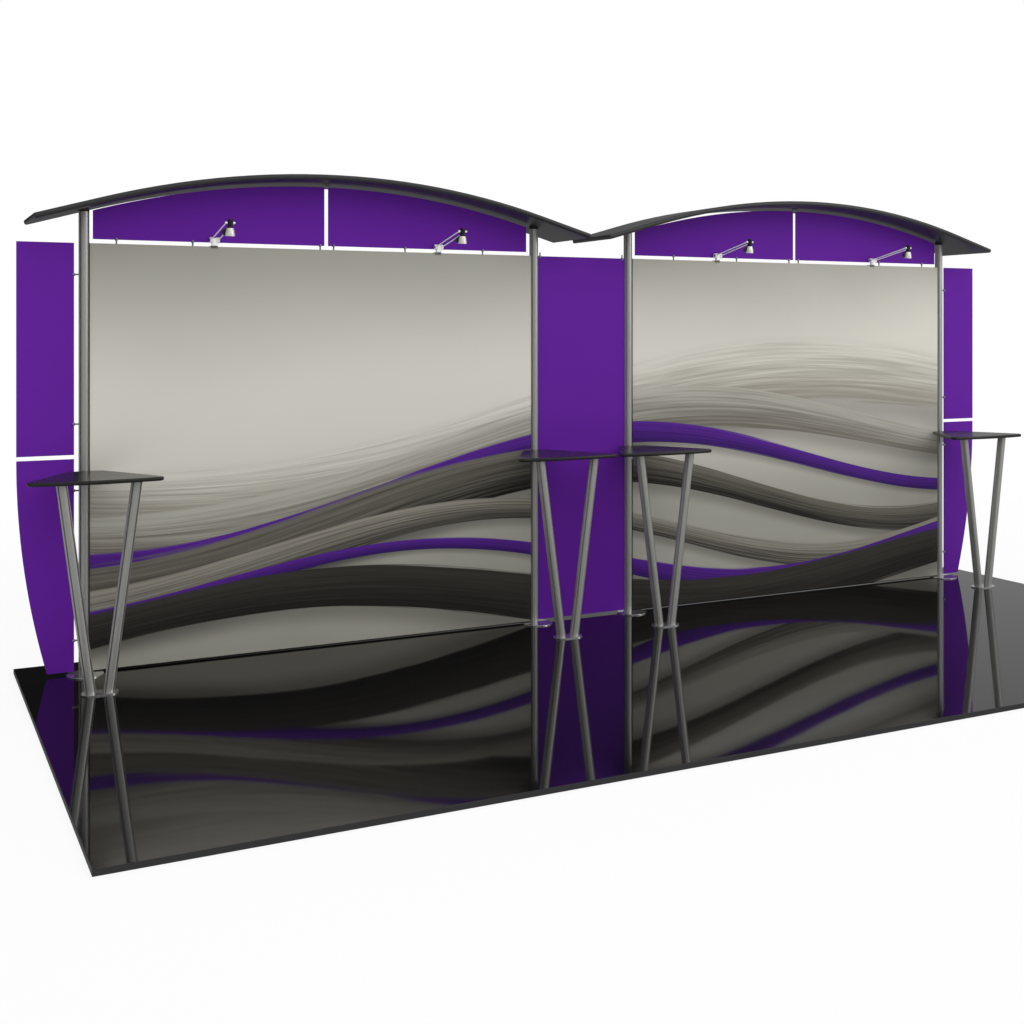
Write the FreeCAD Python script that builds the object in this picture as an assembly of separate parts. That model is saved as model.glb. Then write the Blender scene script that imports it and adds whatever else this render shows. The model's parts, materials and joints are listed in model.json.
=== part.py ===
import FreeCAD, Part
import math
import os

# Trade show display: raised floor, four posts, two arched canopies, picture walls,
# panels, counters and clip-on lights. Millimetres, +Z up, +X along the wall to the right,
# +Y to the back. The origin is the middle of the floor's underside.

# Floor
FLOOR_WIDTH = 6096.0
FLOOR_DEPTH = 2710.0
DECK_THICKNESS = 18.0
LAMINATE_THICKNESS = 4.0
TRIM_THICKNESS = 3.0
DECK_COLUMNS = 5
DECK_ROWS = 2
DECK_JOINT_GAP = 0.5

# Fits and cuts
SEAT_CLEARANCE = 0.3
PIN_CLEARANCE = 0.05
CUT_OVERRUN = 1.0

# Posts and their places
WALL_SETBACK = 232.0
BAY_PITCH = 2438.0
CENTRE_PITCH = 622.0
POST_DIAMETER = 50.0
POST_BORE = 20.0
GROOVE_WIDTH = 7.0
GROOVE_DEPTH = 9.0
GROOVE_POCKET_WIDTH = 11.0
GROOVE_POCKET_DEPTH = 4.0
GROOVE_ANGLES_DEG = (45.0, 135.0, 225.0, 315.0)
DISC_DIAMETER = 172.0
DISC_FORWARD = 46.0
DISC_THICKNESS = 6.0
DISC_EDGE_ROUNDING = 2.0
SPIGOT_LENGTH = 80.0

# Canopies
CANOPY_APEX_HEIGHT = 2464.0
CANOPY_RADIUS = 4200.0
CANOPY_BEND_CHORD = 2330.0
CANOPY_CHORD = 2949.0
CANOPY_DEPTH = 466.0
CANOPY_THICKNESS = 27.0
CANOPY_NOSE_RADIUS = 12.0
SADDLE_THICKNESS = 4.0

# Canopy hangers and their bolts
HANGER_WIDTH = 24.0
HANGER_THICKNESS = 4.0
HANGER_REACH = 56.0
HANGER_OVERLAP = 5.0
HANGER_BOLT_SHARES = (0.35, 0.80)
BOLT_DIAMETER = 6.0
BOLT_HEAD_DIAMETER = 11.0
BOLT_HEAD_HEIGHT = 3.5
BOLT_GRIP = 8.0

# Panels and standoffs
PANEL_THICKNESS = 6.0
PANEL_FLOOR_GAP = 12.0
STANDOFF_GAP = 21.0
STANDOFF_DIAMETER = 8.0
STANDOFF_HEAD_DIAMETER = 14.0
STANDOFF_HEAD_LENGTH = 13.0
STANDOFF_SLOT_DEPTH = 9.0
HEADER_RISE = 310.0
HEADER_TOP_GAP = 15.0
HEADER_SIDE_GAP = 20.0
HEADER_SPLIT_GAP = 21.0
HEADER_SHIFT = 4.0
HEADER_OUTER_PIN_SHARES = (0.030, 0.573, 0.876)
HEADER_INNER_PIN_SHARES = (0.030, 0.360, 0.738)
CENTRE_PIN_INSET = 15.0
WING_WIDTH = 260.0
WING_LOWER_HEIGHT = 1030.0
WING_SPLIT_GAP = 20.0
WING_TAPER = 137.0
WING_PIN_SHARES = (0.145, 0.851)

# Picture walls
FRAME_DEPTH = 30.0
FRAME_FACE = 30.0
FRAME_WALL = 2.0
MULLION_FACE = 24.0
KEY_LENGTH = 70.0
FABRIC_THICKNESS = 1.2
FABRIC_SIDE_INSET = 0.3
FABRIC_FOOT_INSET = 4.0

# Counters
COUNTER_HEIGHT = 985.0
COUNTER_THICKNESS = 19.0
COUNTER_WIDTH = 628.0
COUNTER_BACK_WIDTH = 168.0
COUNTER_DEPTH = 458.0
COUNTER_FRONT_BULGE = 36.0
COUNTER_POST_GAP = 6.0
COUNTER_TIP_RADIUS = 30.0
COUNTER_BACK_RADIUS = 14.0
COUNTER_EDGE_ROUNDING = 7.0
LEG_DIAMETER = 50.0
LEG_FRONT_INSET = 70.0
OUTER_LEG_SHIFT = 14.0
LEG_TOP_SPREAD = 330.0
LEG_FOOT_SPREAD = 80.0
FOOT_PLATE_LENGTH = 168.0
FOOT_PLATE_WIDTH = 96.0
FOOT_PLATE_THICKNESS = 6.0
COUNTER_BRACKET_WIDTH = 30.0
COUNTER_BRACKET_THICKNESS = 5.0
COUNTER_BRACKET_REACH = 130.0
COUNTER_BRACKET_DROP = 60.0

# Clip-on lights
LIGHT_PITCH = 1220.0
LIGHT_SHIFT = 16.0
JAW_WIDTH = 33.0
JAW_THICKNESS = 4.0
JAW_LIP = 8.0
BLOCK_WIDTH = 27.0
BLOCK_DEPTH = 24.0
BLOCK_HEIGHT = 24.0
BLOCK_BARREL_GAP = 2.0
LUG_WIDTH = 14.0
PIVOT_FORWARD = 23.0
PIVOT_RISE = 32.0
PIVOT_BOLT_DIAMETER = 8.0
PIVOT_HEAD_DIAMETER = 11.0
PIVOT_HEAD_HEIGHT = 2.5
BARREL_DIAMETER = 30.0
BARREL_LENGTH = 16.0
ARM_REACH = 335.0
ARM_RISE = 64.0
ROD_DIAMETER = 6.0
ROD_SPACING = 38.0
KNOB_DIAMETER = 10.5
KNOB_LENGTH = 11.0
HEAD_TILT_DEG = 5.0
SOCKET_DIAMETER = 26.0
SOCKET_ABOVE = 19.0
SOCKET_BELOW = 30.0
TRUNNION_DIAMETER = 5.0
HANDLE_REACH = 39.0
HANDLE_WIDTH = 10.0
HANDLE_TOP = 20.0
HANDLE_ELBOW = 40.0
HANDLE_FOOT = 60.0
HANDLE_TIP = 6.0
HANDLE_GAP = 1.0
REFLECTOR_NECK_DIAMETER = 33.0
REFLECTOR_MOUTH_DIAMETER = 48.0
REFLECTOR_TOP = 25.0
REFLECTOR_MOUTH = 64.0
REFLECTOR_WALL = 1.6
REFLECTOR_BULGE = 1.5
LAMP_BASE_DIAMETER = 12.0
LAMP_BASE_LENGTH = 8.0
LAMP_BULB_DIAMETER = 17.0
LAMP_LENGTH = 20.0

# Places worked out from the sizes above
FLOOR_TOP = DECK_THICKNESS + LAMINATE_THICKNESS
WALL_Y = FLOOR_DEPTH / 2 - WALL_SETBACK
POST_RADIUS = POST_DIAMETER / 2
HALF_BAY = BAY_PITCH / 2
BAY_CENTRE = CENTRE_PITCH / 2 + HALF_BAY
HEADER_MIDDLE = BAY_CENTRE + HEADER_SHIFT
CANOPY_AXIS_Z = FLOOR_TOP + CANOPY_APEX_HEIGHT - CANOPY_RADIUS
CANOPY_UNDER_RADIUS = CANOPY_RADIUS - CANOPY_THICKNESS
CANOPY_BEND_ANGLE = math.asin(CANOPY_BEND_CHORD / 2 / CANOPY_RADIUS)
SEAT_RADIUS = CANOPY_UNDER_RADIUS - SEAT_CLEARANCE
HEADER_TOP_RADIUS = CANOPY_UNDER_RADIUS - HEADER_TOP_GAP
HEADER_FOOT_Z = CANOPY_AXIS_Z + HEADER_TOP_RADIUS - HEADER_RISE
PANEL_TOP_Z = HEADER_FOOT_Z - STANDOFF_GAP
PANEL_FOOT_Z = FLOOR_TOP + PANEL_FLOOR_GAP
FRAME_FOOT_Z = FLOOR_TOP + DISC_THICKNESS + SEAT_CLEARANCE
FRAME_FRONT_Y = WALL_Y - FRAME_DEPTH / 2
FRAME_BACK_Y = WALL_Y + FRAME_DEPTH / 2

POST_PLACES = {
    "left_outer": -BAY_CENTRE - HALF_BAY,
    "left_inner": -BAY_CENTRE + HALF_BAY,
    "right_inner": BAY_CENTRE - HALF_BAY,
    "right_outer": BAY_CENTRE + HALF_BAY,
}
LEG_SHIFTS = {
    "left_outer": OUTER_LEG_SHIFT,
    "left_inner": 0,
    "right_inner": 0,
    "right_outer": -OUTER_LEG_SHIFT,
}
BAYS = {"left": -1, "right": 1}

X_AXIS = FreeCAD.Vector(1, 0, 0)
Y_AXIS = FreeCAD.Vector(0, 1, 0)
Z_AXIS = FreeCAD.Vector(0, 0, 1)


def point(x, y, z):
    return FreeCAD.Vector(x, y, z)


def block(x_span, y_span, z_span):
    """Box between the given limits."""
    size_x = x_span[1] - x_span[0]
    size_y = y_span[1] - y_span[0]
    size_z = z_span[1] - z_span[0]
    return Part.makeBox(size_x, size_y, size_z, point(x_span[0], y_span[0], z_span[0]))


def centred(middle, width):
    """Limits of a width centred on a place."""
    return (middle - width / 2, middle + width / 2)


def rod(start, end, diameter):
    """Round bar between two points."""
    along = end - start
    return Part.makeCylinder(diameter / 2, along.Length, start, along)


def moved(shape, x, y, z):
    placed = shape.copy()
    placed.translate(point(x, y, z))
    return placed


def turned(shape, centre, axis, angle_deg):
    placed = shape.copy()
    placed.rotate(centre, axis, angle_deg)
    return placed


def mirrored(shape):
    """The same piece on the other side of the middle plane."""
    return shape.mirror(point(0, 0, 0), X_AXIS)


def save(name, solids):
    pieces = solids if isinstance(solids, list) else [solids]
    shape = pieces[0] if len(pieces) == 1 else Part.makeCompound(pieces)
    shape.exportStep("parts/" + name + ".step")


# Arched shapes, drawn about the middle of a bay: bent in the middle and straight at both ends
def arch_height(radius, offset):
    bend_end = radius * math.sin(CANOPY_BEND_ANGLE)
    bent = min(abs(offset), bend_end)
    drop = (abs(offset) - bent) * math.tan(CANOPY_BEND_ANGLE)
    return CANOPY_AXIS_Z + math.sqrt(radius * radius - bent * bent) - drop


def arch_point(radius, offset):
    return point(offset, 0, arch_height(radius, offset))


def arch_edge(radius, start, end):
    points = [arch_point(radius, offset) for offset in (start, (start + end) / 2, end)]
    return Part.Arc(*points).toShape()


def arch_path(radius, end):
    """Straight end, bend and straight end of the curve at a radius."""
    bend_end = radius * math.sin(CANOPY_BEND_ANGLE)
    left = Part.makeLine(arch_point(radius, -end), arch_point(radius, -bend_end))
    right = Part.makeLine(arch_point(radius, bend_end), arch_point(radius, end))
    return [left, arch_edge(radius, -bend_end, bend_end), right]


def filled(edges):
    """Flat face inside the edges, given in any order."""
    return Part.Face(Part.Wire(Part.__sortEdges__(edges)))


def grooved_face(diameter):
    """Section of the round extrusion: four T grooves and a middle bore."""
    radius = diameter / 2
    section = Part.Face(Part.Wire(Part.makeCircle(radius)))
    section = section.cut(Part.Face(Part.Wire(Part.makeCircle(POST_BORE / 2))))
    mouth = Part.makePlane(GROOVE_DEPTH + CUT_OVERRUN, GROOVE_WIDTH,
                           point(radius - GROOVE_DEPTH, -GROOVE_WIDTH / 2, 0))
    pocket = Part.makePlane(GROOVE_POCKET_DEPTH, GROOVE_POCKET_WIDTH,
                            point(radius - GROOVE_DEPTH, -GROOVE_POCKET_WIDTH / 2, 0))
    for angle in GROOVE_ANGLES_DEG:
        section = section.cut(turned(mouth, point(0, 0, 0), Z_AXIS, angle))
        section = section.cut(turned(pocket, point(0, 0, 0), Z_AXIS, angle))
    return section


# Floor
def make_floor():
    inner_width = FLOOR_WIDTH - TRIM_THICKNESS * 2
    inner_depth = FLOOR_DEPTH - TRIM_THICKNESS * 2
    panel_width = (inner_width - DECK_JOINT_GAP * (DECK_COLUMNS - 1)) / DECK_COLUMNS
    panel_depth = (inner_depth - DECK_JOINT_GAP * (DECK_ROWS - 1)) / DECK_ROWS
    panels = []
    for column in range(DECK_COLUMNS):
        left = -inner_width / 2 + column * (panel_width + DECK_JOINT_GAP)
        for row in range(DECK_ROWS):
            front = -inner_depth / 2 + row * (panel_depth + DECK_JOINT_GAP)
            across = (left, left + panel_width)
            panels.append(block(across, (front, front + panel_depth), (0, DECK_THICKNESS)))
    save("floor_deck_panels", panels)
    surface = block(centred(0, inner_width), centred(0, inner_depth), (DECK_THICKNESS, FLOOR_TOP))
    save("floor_laminate", surface)
    trims = []
    for side in (-1, 1):
        y_edges = sorted((side * inner_depth / 2, side * FLOOR_DEPTH / 2))
        x_edges = sorted((side * inner_width / 2, side * FLOOR_WIDTH / 2))
        trims.append(block(centred(0, FLOOR_WIDTH), y_edges, (0, FLOOR_TOP)))
        trims.append(block(x_edges, centred(0, inner_depth), (0, FLOOR_TOP)))
    save("floor_edge_trims", trims)


# Posts, their base discs and the saddles on top
def post_top():
    """Height where the post ends, under the lowest place of the canopy above it."""
    return arch_height(SEAT_RADIUS, HALF_BAY + POST_RADIUS) - SADDLE_THICKNESS


def make_posts():
    foot = FLOOR_TOP + DISC_THICKNESS
    post = grooved_face(POST_DIAMETER).extrude(point(0, 0, post_top() - foot))
    for name, x in POST_PLACES.items():
        save("post_" + name, moved(post, x, WALL_Y, foot))


def make_base_discs():
    """Base discs set forward of the posts, each with a spigot on the post's own axis."""
    disc = Part.makeCylinder(DISC_DIAMETER / 2, DISC_THICKNESS)
    rim = [edge for edge in disc.Edges if edge.Closed and edge.BoundBox.ZMin > DISC_THICKNESS / 2]
    disc = moved(disc.makeFillet(DISC_EDGE_ROUNDING, rim), 0, -DISC_FORWARD, 0)
    spigot = Part.makeCylinder(POST_BORE / 2 - SEAT_CLEARANCE, DISC_THICKNESS + SPIGOT_LENGTH)
    base = disc.fuse(spigot).removeSplitter()
    save("post_base_discs", [moved(base, x, WALL_Y, FLOOR_TOP) for x in POST_PLACES.values()])


def post_saddle(side):
    """Cap on a post, cut to the canopy's underside, with a spigot in the post's bore."""
    seat = post_top()
    offset = side * HALF_BAY
    reach = HALF_BAY + POST_DIAMETER
    foot_corners = [point(-reach, 0, seat), point(reach, 0, seat)]
    edges = arch_path(SEAT_RADIUS, reach)
    edges.append(Part.makeLine(foot_corners[0], arch_point(SEAT_RADIUS, -reach)))
    edges.append(Part.makeLine(foot_corners[0], foot_corners[1]))
    edges.append(Part.makeLine(foot_corners[1], arch_point(SEAT_RADIUS, reach)))
    under_canopy = moved(filled(edges).extrude(Y_AXIS * POST_DIAMETER), 0, -POST_RADIUS, 0)
    crown = arch_height(CANOPY_UNDER_RADIUS, HALF_BAY - POST_RADIUS)
    cap = Part.makeCylinder(POST_RADIUS, crown - seat, point(offset, 0, seat))
    spigot_foot = point(offset, 0, seat - SPIGOT_LENGTH)
    spigot = Part.makeCylinder(POST_BORE / 2 - SEAT_CLEARANCE, SPIGOT_LENGTH, spigot_foot)
    return cap.common(under_canopy).fuse(spigot).removeSplitter()


def make_saddles():
    saddles = []
    for bay in BAYS.values():
        for side in (-1, 1):
            saddles.append(moved(post_saddle(side), bay * BAY_CENTRE, WALL_Y, 0))
    save("post_top_saddles", saddles)


# Canopies and the hangers that hold the headers' tops to them
def canopy():
    """Board bent in the middle, with straight ends and every edge rounded."""
    top_end = CANOPY_CHORD / 2
    under_end = top_end - CANOPY_THICKNESS * math.sin(CANOPY_BEND_ANGLE)
    edges = arch_path(CANOPY_RADIUS, top_end) + arch_path(CANOPY_UNDER_RADIUS, under_end)
    for side in (-1, 1):
        top_corner = arch_point(CANOPY_RADIUS, side * top_end)
        edges.append(Part.makeLine(top_corner, arch_point(CANOPY_UNDER_RADIUS, side * under_end)))
    board = moved(filled(edges).extrude(Y_AXIS * CANOPY_DEPTH), 0, -CANOPY_DEPTH / 2, 0)
    across = [edge for edge in board.Edges if edge.BoundBox.YLength > CANOPY_DEPTH / 2]
    rims = [edge for edge in board.Edges if edge.BoundBox.YLength < CANOPY_DEPTH / 2]
    rims += [edge for edge in across if abs(edge.CenterOfMass.x) > (CANOPY_BEND_CHORD + CANOPY_CHORD) / 4]
    return board.makeFillet(CANOPY_NOSE_RADIUS, rims)


def hanger_levels():
    """Underside and top of the hanger's flange."""
    top = arch_height(SEAT_RADIUS, HANGER_WIDTH / 2)
    return top - HANGER_THICKNESS, top


def hanger_bolt_lines():
    """Axes of the flange's two bolts, from head to tip."""
    under, top = hanger_levels()
    tip = top + BOLT_GRIP
    return [(point(0, -HANGER_REACH * share, under), point(0, -HANGER_REACH * share, tip))
            for share in HANGER_BOLT_SHARES]


def drill_for_bolts(shape):
    """Clearance holes where the hanger's bolts pass through or enter a piece."""
    hole = BOLT_DIAMETER + SEAT_CLEARANCE * 2
    for start, tip in hanger_bolt_lines():
        shape = shape.cut(rod(start, tip + Z_AXIS * SEAT_CLEARANCE, hole))
    return shape


def canopy_hanger(bay):
    """Flange under the canopy with a web that fills the split between the headers' tops."""
    under, top = hanger_levels()
    web_foot = CANOPY_AXIS_Z + HEADER_TOP_RADIUS - HANGER_OVERLAP
    web_width = HEADER_SPLIT_GAP - SEAT_CLEARANCE * 2
    web_middle = bay * HEADER_SHIFT
    web = block(centred(web_middle, web_width), centred(0, PANEL_THICKNESS), (web_foot, top))
    flange = block(centred(0, HANGER_WIDTH), (-HANGER_REACH, PANEL_THICKNESS / 2), (under, top))
    return drill_for_bolts(web.fuse(flange).removeSplitter())


def hanger_bolt(start, tip):
    head = rod(start - Z_AXIS * BOLT_HEAD_HEIGHT, start, BOLT_HEAD_DIAMETER)
    return head.fuse(rod(start, tip, BOLT_DIAMETER)).removeSplitter()


def make_canopies():
    hangers = []
    bolts = []
    for name, bay in BAYS.items():
        middle = bay * BAY_CENTRE
        save("canopy_" + name, moved(drill_for_bolts(canopy()), middle, WALL_Y, 0))
        hangers.append(moved(canopy_hanger(bay), middle, WALL_Y, 0))
        bolts += [moved(hanger_bolt(start, tip), middle, WALL_Y, 0) for start, tip in hanger_bolt_lines()]
    save("canopy_hangers", hangers)
    save("canopy_hanger_bolts", bolts)


# Panels of rigid board
def header_panel():
    """Half header on the right of the bay's middle, its top edge below the canopy's curve."""
    start = HEADER_SPLIT_GAP / 2
    end = HALF_BAY - POST_RADIUS - HEADER_SIDE_GAP
    top = arch_edge(HEADER_TOP_RADIUS, start, end)
    corners = [point(start, 0, HEADER_FOOT_Z), point(end, 0, HEADER_FOOT_Z)]
    near = Part.makeLine(corners[0], top.valueAt(top.FirstParameter))
    foot = Part.makeLine(corners[0], corners[1])
    far = Part.makeLine(corners[1], top.valueAt(top.LastParameter))
    panel = filled([near, top, far, foot]).extrude(point(0, PANEL_THICKNESS, 0))
    return moved(panel, 0, WALL_Y - PANEL_THICKNESS / 2, 0)


def make_headers():
    right_outer = moved(header_panel(), HEADER_MIDDLE, 0, 0)
    right_inner = moved(mirrored(header_panel()), HEADER_MIDDLE, 0, 0)
    save("header_panel_right_outer", right_outer)
    save("header_panel_right_inner", right_inner)
    save("header_panel_left_outer", mirrored(right_outer))
    save("header_panel_left_inner", mirrored(right_inner))


def make_centre_panel():
    width = CENTRE_PITCH - POST_DIAMETER - SEAT_CLEARANCE * 2
    panel = block(centred(0, width), centred(WALL_Y, PANEL_THICKNESS), (PANEL_FOOT_Z, PANEL_TOP_Z))
    save("centre_panel", panel)


def wing_inner_x():
    return BAY_CENTRE + HALF_BAY + POST_RADIUS + STANDOFF_GAP


def wing_levels():
    """Foot and top heights of the lower and the upper wing panel."""
    split = PANEL_FOOT_Z + WING_LOWER_HEIGHT
    return (PANEL_FOOT_Z, split), (split + WING_SPLIT_GAP, PANEL_TOP_Z)


def lower_wing():
    """Right lower wing, its outer edge one arc that leaves the top corner upright."""
    foot, top = wing_levels()[0]
    inner = wing_inner_x()
    outer = inner + WING_WIDTH
    height = top - foot
    radius = (height * height + WING_TAPER * WING_TAPER) / (WING_TAPER * 2)
    drop = height / 2
    inset = radius - math.sqrt(radius * radius - drop * drop)
    corner = point(outer, 0, top)
    through = point(outer - inset, 0, top - drop)
    toe = point(outer - WING_TAPER, 0, foot)
    edges = [
        Part.Arc(corner, through, toe).toShape(),
        Part.makeLine(toe, point(inner, 0, foot)),
        Part.makeLine(point(inner, 0, foot), point(inner, 0, top)),
        Part.makeLine(point(inner, 0, top), corner),
    ]
    panel = Part.Face(Part.Wire(edges)).extrude(point(0, PANEL_THICKNESS, 0))
    return moved(panel, 0, WALL_Y - PANEL_THICKNESS / 2, 0)


def make_wings():
    inner = wing_inner_x()
    upper = block((inner, inner + WING_WIDTH), centred(WALL_Y, PANEL_THICKNESS), wing_levels()[1])
    lower = lower_wing()
    save("wing_panel_right_upper", upper)
    save("wing_panel_right_lower", lower)
    save("wing_panel_left_upper", mirrored(upper))
    save("wing_panel_left_lower", mirrored(lower))


def standoff():
    """Pin that holds a panel's edge in its slotted head, standing on the origin along +Z."""
    neck = STANDOFF_GAP + STANDOFF_SLOT_DEPTH - STANDOFF_HEAD_LENGTH
    stem = Part.makeCylinder(STANDOFF_DIAMETER / 2, neck)
    head = Part.makeCylinder(STANDOFF_HEAD_DIAMETER / 2, STANDOFF_HEAD_LENGTH, point(0, 0, neck))
    slot_width = PANEL_THICKNESS + SEAT_CLEARANCE * 2
    slot_span = (STANDOFF_GAP - SEAT_CLEARANCE, STANDOFF_GAP + STANDOFF_SLOT_DEPTH + CUT_OVERRUN)
    slot = block(centred(0, STANDOFF_HEAD_DIAMETER + CUT_OVERRUN), centred(0, slot_width), slot_span)
    return stem.fuse(head).cut(slot).removeSplitter()


def make_standoffs():
    """Every standoff of the header, wing and centre panels: one and the same pin."""
    pins = []
    for bay in BAYS.values():
        for side, shares in ((1, HEADER_OUTER_PIN_SHARES), (-1, HEADER_INNER_PIN_SHARES)):
            for share in shares:
                x = bay * (BAY_CENTRE + side * HALF_BAY * share)
                pins.append(moved(standoff(), x, WALL_Y, PANEL_TOP_Z))
        sideways = turned(standoff(), point(0, 0, 0), Y_AXIS, bay * 90)
        post_side = bay * (BAY_CENTRE + HALF_BAY + POST_RADIUS)
        for foot, top in wing_levels():
            for share in WING_PIN_SHARES:
                pins.append(moved(sideways, post_side, WALL_Y, foot + (top - foot) * share))
        hanging = turned(standoff(), point(0, 0, 0), Y_AXIS, 180)
        x = bay * (CENTRE_PITCH / 2 - POST_RADIUS - CENTRE_PIN_INSET)
        pins.append(moved(hanging, x, WALL_Y, PANEL_TOP_Z + STANDOFF_GAP))
    save("panel_standoffs", pins)


# Picture walls: a tube frame between two posts with fabric stretched on its front
def tube(x_span, z_span, along):
    """Square tube of the picture frame, hollow along X or Z."""
    y_span = (FRAME_FRONT_Y, FRAME_BACK_Y)
    y_hollow = (FRAME_FRONT_Y + FRAME_WALL, FRAME_BACK_Y - FRAME_WALL)
    body = block(x_span, y_span, z_span)
    if along is X_AXIS:
        z_hollow = (z_span[0] + FRAME_WALL, z_span[1] - FRAME_WALL)
        return body.cut(block((x_span[0] - CUT_OVERRUN, x_span[1] + CUT_OVERRUN), y_hollow, z_hollow))
    x_hollow = (x_span[0] + FRAME_WALL, x_span[1] - FRAME_WALL)
    return body.cut(block(x_hollow, y_hollow, (z_span[0] - CUT_OVERRUN, z_span[1] + CUT_OVERRUN)))


def frame_half_width():
    return HALF_BAY - POST_RADIUS - SEAT_CLEARANCE


def frame_rail_levels():
    return (FRAME_FOOT_Z, FRAME_FOOT_Z + FRAME_FACE), (PANEL_TOP_Z - FRAME_FACE, PANEL_TOP_Z)


def corner_key(side, level):
    """Plug in a rail's end, against the stile."""
    end = side * (frame_half_width() - FRAME_FACE)
    inner = end - side * KEY_LENGTH
    z_span = (level[0] + FRAME_WALL + SEAT_CLEARANCE, level[1] - FRAME_WALL - SEAT_CLEARANCE)
    y_inset = FRAME_WALL + SEAT_CLEARANCE
    return block(sorted((inner, end)), (FRAME_FRONT_Y + y_inset, FRAME_BACK_Y - y_inset), z_span)


def make_picture_walls():
    half = frame_half_width()
    stile_inner = half - FRAME_FACE
    low_level, high_level = frame_rail_levels()
    rails = []
    stiles = []
    mullions = []
    keys = []
    for name, bay in BAYS.items():
        middle = bay * BAY_CENTRE
        for level in (low_level, high_level):
            rails.append(moved(tube((-stile_inner, stile_inner), level, X_AXIS), middle, 0, 0))
            keys += [moved(corner_key(side, level), middle, 0, 0) for side in (-1, 1)]
        for side in (-1, 1):
            x_span = sorted((side * stile_inner, side * half))
            stiles.append(moved(tube(x_span, (FRAME_FOOT_Z, PANEL_TOP_Z), Z_AXIS), middle, 0, 0))
        upright = tube(centred(0, MULLION_FACE), (low_level[1], high_level[0]), Z_AXIS)
        mullions.append(moved(upright, middle, 0, 0))
        cloth_x = centred(middle, (half - FABRIC_SIDE_INSET) * 2)
        cloth_y = (FRAME_FRONT_Y - FABRIC_THICKNESS, FRAME_FRONT_Y)
        cloth_z = (FRAME_FOOT_Z + FABRIC_FOOT_INSET, PANEL_TOP_Z)
        save("mural_fabric_" + name, block(cloth_x, cloth_y, cloth_z))
    save("mural_rails", rails)
    save("mural_stiles", stiles)
    save("mural_mullions", mullions)
    save("mural_corner_keys", keys)


# Counters: each in front of a post, drawn with its back edge on the line y = 0
def counter_back_y():
    return WALL_Y - POST_RADIUS - COUNTER_POST_GAP


def leg_y():
    return counter_back_y() - COUNTER_DEPTH + LEG_FRONT_INSET


def counter_top():
    half = COUNTER_WIDTH / 2
    back_half = COUNTER_BACK_WIDTH / 2
    tip_y = -COUNTER_DEPTH + COUNTER_FRONT_BULGE
    left_tip = point(-half, tip_y, 0)
    right_tip = point(half, tip_y, 0)
    front = Part.Arc(left_tip, point(0, -COUNTER_DEPTH, 0), right_tip).toShape()
    edges = [
        front,
        Part.makeLine(right_tip, point(back_half, 0, 0)),
        Part.makeLine(point(back_half, 0, 0), point(-back_half, 0, 0)),
        Part.makeLine(point(-back_half, 0, 0), left_tip),
    ]
    slab = Part.Face(Part.Wire(edges)).extrude(point(0, 0, COUNTER_THICKNESS))
    upright = [edge for edge in slab.Edges if edge.BoundBox.ZLength > COUNTER_THICKNESS / 2]
    tips = [edge for edge in upright if edge.BoundBox.YMax < tip_y / 2]
    backs = [edge for edge in upright if edge.BoundBox.YMin > tip_y / 2]
    slab = slab.makeFillet(COUNTER_TIP_RADIUS, tips)
    backs = [edge for edge in slab.Edges if any(edge.CenterOfMass.isEqual(old.CenterOfMass, SEAT_CLEARANCE)
                                                for old in backs)]
    slab = slab.makeFillet(COUNTER_BACK_RADIUS, backs)
    rims = [edge for edge in slab.Edges if edge.BoundBox.ZLength < COUNTER_EDGE_ROUNDING]
    return slab.makeFillet(COUNTER_EDGE_ROUNDING, rims)


def counter_leg(side, foot, top):
    """Slanted grooved tube, cut level at the foot plate and under the top."""
    lean = math.degrees(math.atan2((LEG_TOP_SPREAD - LEG_FOOT_SPREAD) / 2, top - foot))
    stretch = (top - foot) / math.cos(math.radians(lean)) + LEG_DIAMETER * 2
    bar = grooved_face(LEG_DIAMETER).extrude(point(0, 0, stretch))
    bar = turned(moved(bar, 0, 0, -LEG_DIAMETER), point(0, 0, 0), Y_AXIS, side * lean)
    bar = moved(bar, side * LEG_FOOT_SPREAD / 2, 0, foot)
    return bar.common(block(centred(0, LEG_TOP_SPREAD * 2), centred(0, LEG_DIAMETER * 2), (foot, top)))


def foot_plate():
    radius = FOOT_PLATE_WIDTH / 2
    reach = (FOOT_PLATE_LENGTH - FOOT_PLATE_WIDTH) / 2
    plate = block(centred(0, reach * 2), centred(0, FOOT_PLATE_WIDTH), (0, FOOT_PLATE_THICKNESS))
    for side in (-1, 1):
        plate = plate.fuse(Part.makeCylinder(radius, FOOT_PLATE_THICKNESS, point(side * reach, 0, 0)))
    return plate.removeSplitter()


def counter_bracket(under):
    """Angle piece from the post's front to the underside of the counter top."""
    post_front = WALL_Y - POST_RADIUS - SEAT_CLEARANCE
    plate_front = post_front - COUNTER_BRACKET_THICKNESS
    width = centred(0, COUNTER_BRACKET_WIDTH)
    plate = block(width, (plate_front, post_front), (under - COUNTER_BRACKET_DROP, under))
    arm_y = (post_front - COUNTER_BRACKET_REACH, post_front)
    arm = block(width, arm_y, (under - COUNTER_BRACKET_THICKNESS, under))
    return plate.fuse(arm).removeSplitter()


def make_counters():
    top = FLOOR_TOP + COUNTER_HEIGHT
    under = top - COUNTER_THICKNESS
    foot = FLOOR_TOP + FOOT_PLATE_THICKNESS
    slab = counter_top()
    legs = [counter_leg(side, foot, under) for side in (-1, 1)]
    plates = []
    brackets = []
    for name, x in POST_PLACES.items():
        leg_x = x + LEG_SHIFTS[name]
        save("counter_top_" + name, moved(slab, x, counter_back_y(), under))
        save("counter_legs_" + name, [moved(leg, leg_x, leg_y(), 0) for leg in legs])
        plates.append(moved(foot_plate(), leg_x, leg_y(), FLOOR_TOP))
        brackets.append(moved(counter_bracket(under), x, 0, 0))
    save("counter_foot_plates", plates)
    save("counter_brackets", brackets)


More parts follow.
